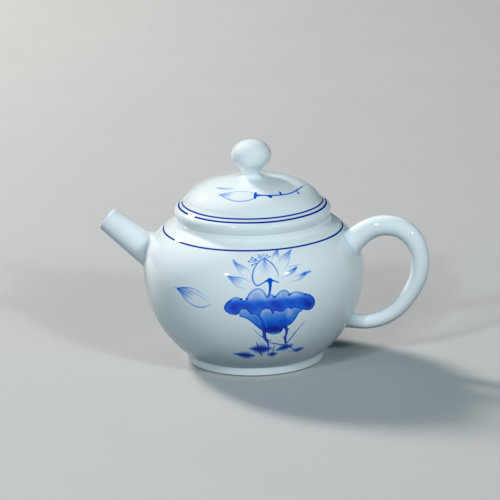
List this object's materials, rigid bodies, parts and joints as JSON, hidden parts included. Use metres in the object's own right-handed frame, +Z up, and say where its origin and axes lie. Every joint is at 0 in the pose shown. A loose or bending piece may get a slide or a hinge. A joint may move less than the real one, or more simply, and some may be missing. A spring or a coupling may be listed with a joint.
{
  "type": "teapot",
  "caption": "Small round porcelain teapot with a straight spout, ear-shaped handle, inside strainer and a lift-off domed lid with a ball knob, painted in blue.",
  "frame": {"origin": "centre of the foot ring on the table plane", "axes": "+Z up along the pot's turning axis, +X towards the handle, -X towards the spout"},
  "size_m": [0.134, 0.088, 0.0899],
  "materials": {
    "white_glaze": "bluish-white gloss glaze over porcelain, with cobalt painting under it",
    "bare_porcelain": "unglazed fired porcelain, smooth and matt"
  },
  "bodies": {
    "pot": {"pot_body": "white_glaze", "foot_ring": "bare_porcelain", "neck_collar": "white_glaze", "spout": "white_glaze", "strainer_dome": "white_glaze", "handle": "white_glaze"},
    "lid": {"lid_dome": "white_glaze", "lid_flange": "bare_porcelain", "lid_knob": "white_glaze"}
  },
  "joints": [
    {"name": "lid_lift", "type": "slide", "parent": "pot", "child": "lid", "axis": [0, 0, 1], "range_m": [0, 0.04]}
  ]
}
